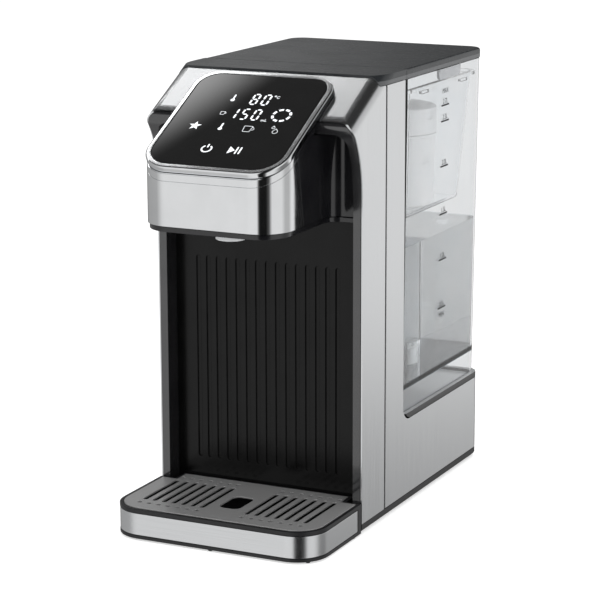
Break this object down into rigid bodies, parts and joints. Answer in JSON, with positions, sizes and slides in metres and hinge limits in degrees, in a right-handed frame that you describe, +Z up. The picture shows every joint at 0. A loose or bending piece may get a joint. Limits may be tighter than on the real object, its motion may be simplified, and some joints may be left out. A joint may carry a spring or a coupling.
{
  "type": "instant hot water dispenser",
  "caption": "Counter-top hot water dispenser: steel tower with a touch display head over a cup niche, a pull-out drip tray and a lift-off clear tank at the rear.",
  "frame": {"origin": "on the table under the middle of the outer box", "axes": "+Z up; the front with the tray and display faces -Y; +X is the side with the tank window"},
  "size_m": [0.155, 0.293, 0.31],
  "materials": {
    "brushed_steel": "fine upright brushing",
    "polished_steel": "polished",
    "black_gloss_plastic": "piano gloss",
    "black_satin_plastic": "satin, moulded",
    "graphite_plastic": "fine spark texture",
    "pale_grey_plastic": "moulded",
    "white_plastic": "moulded",
    "clear_plastic": "clear, moulded",
    "smoked_plastic": "smoked, translucent",
    "display_glass": "black glass with lit symbols",
    "black_rubber": "matt",
    "silicone_hose": "satin",
    "circuit_board": "lacquered",
    "heater_jacket": "drawn",
    "zinc_plated": "zinc plated"
  },
  "bodies": {
    "machine": {"front_shell": "brushed_steel", "left_side_panel": "brushed_steel", "right_side_panel": "brushed_steel", "top_cover": "graphite_plastic", "left_bay_cap": "black_satin_plastic", "base_pan": "black_satin_plastic", "foot_1": "black_rubber", "foot_2": "black_rubber", "foot_3": "black_rubber", "foot_4": "black_rubber", "niche_housing": "black_gloss_plastic", "niche_back_panel": "black_satin_plastic", "neck_housing": "black_gloss_plastic", "head_cover": "polished_steel", "head_base_cover": "black_gloss_plastic", "display_frame": "polished_steel", "display_glass": "display_glass", "display_board": "circuit_board", "outlet_nozzle": "pale_grey_plastic", "nozzle_seal": "black_rubber", "outlet_hose": "silicone_hose", "tank_bay_wall": "pale_grey_plastic", "tank_dock": "black_satin_plastic", "dock_socket": "black_satin_plastic", "dock_seal": "black_rubber", "inlet_hose": "silicone_hose", "pressure_hose": "silicone_hose", "water_pump": "black_satin_plastic", "pump_motor": "zinc_plated", "pump_mount": "black_rubber", "flow_heater": "heater_jacket", "heater_bracket": "zinc_plated", "thermostat": "black_satin_plastic", "power_board": "circuit_board", "power_board_bracket": "zinc_plated", "rear_panel": "black_satin_plastic", "rear_screw_1": "zinc_plated", "rear_screw_2": "zinc_plated", "rear_screw_3": "zinc_plated", "rear_screw_4": "zinc_plated", "cord_gland": "black_rubber"},
    "drip_tray": {"drip_tray_body": "black_satin_plastic", "drip_tray_band": "brushed_steel"},
    "grid": {"drip_grid": "brushed_steel"},
    "tank": {"water_tank": "clear_plastic", "tank_valve_housing": "white_plastic", "tank_valve_spring": "zinc_plated"},
    "valve_plunger": {"tank_valve_plunger": "pale_grey_plastic", "tank_valve_seal": "black_rubber"},
    "funnel": {"tank_funnel": "clear_plastic"},
    "filter": {"filter_cartridge": "white_plastic", "filter_cap": "pale_grey_plastic"},
    "lid": {"tank_lid": "graphite_plastic", "lid_tab": "smoked_plastic"}
  },
  "joints": [
    {"name": "drip_tray_pull", "type": "slide", "parent": "machine", "child": "drip_tray", "axis": [0, -1, 0], "range_m": [0, 0.09]},
    {"name": "drip_grid_lift", "type": "slide", "parent": "drip_tray", "child": "grid", "axis": [0, 0, 1], "range_m": [0, 0.06]},
    {"name": "tank_lift", "type": "slide", "parent": "machine", "child": "tank", "axis": [0, 0, 1], "range_m": [0, 0.25]},
    {"name": "valve_travel", "type": "slide", "parent": "tank", "child": "valve_plunger", "axis": [0, 0, 1], "range_m": [0, 0.002], "stiffness_N_per_m": 150, "springref_m": -0.003, "deforming": ["tank_valve_spring"]},
    {"name": "funnel_lift", "type": "slide", "parent": "tank", "child": "funnel", "axis": [0, 0, 1], "range_m": [0, 0.11]},
    {"name": "filter_lift", "type": "slide", "parent": "funnel", "child": "filter", "axis": [0, 0, 1], "range_m": [0, 0.1]},
    {"name": "tank_lid_lift", "type": "slide", "parent": "filter", "child": "lid", "axis": [0, 0, 1], "range_m": [0, 0.03]}
  ]
}
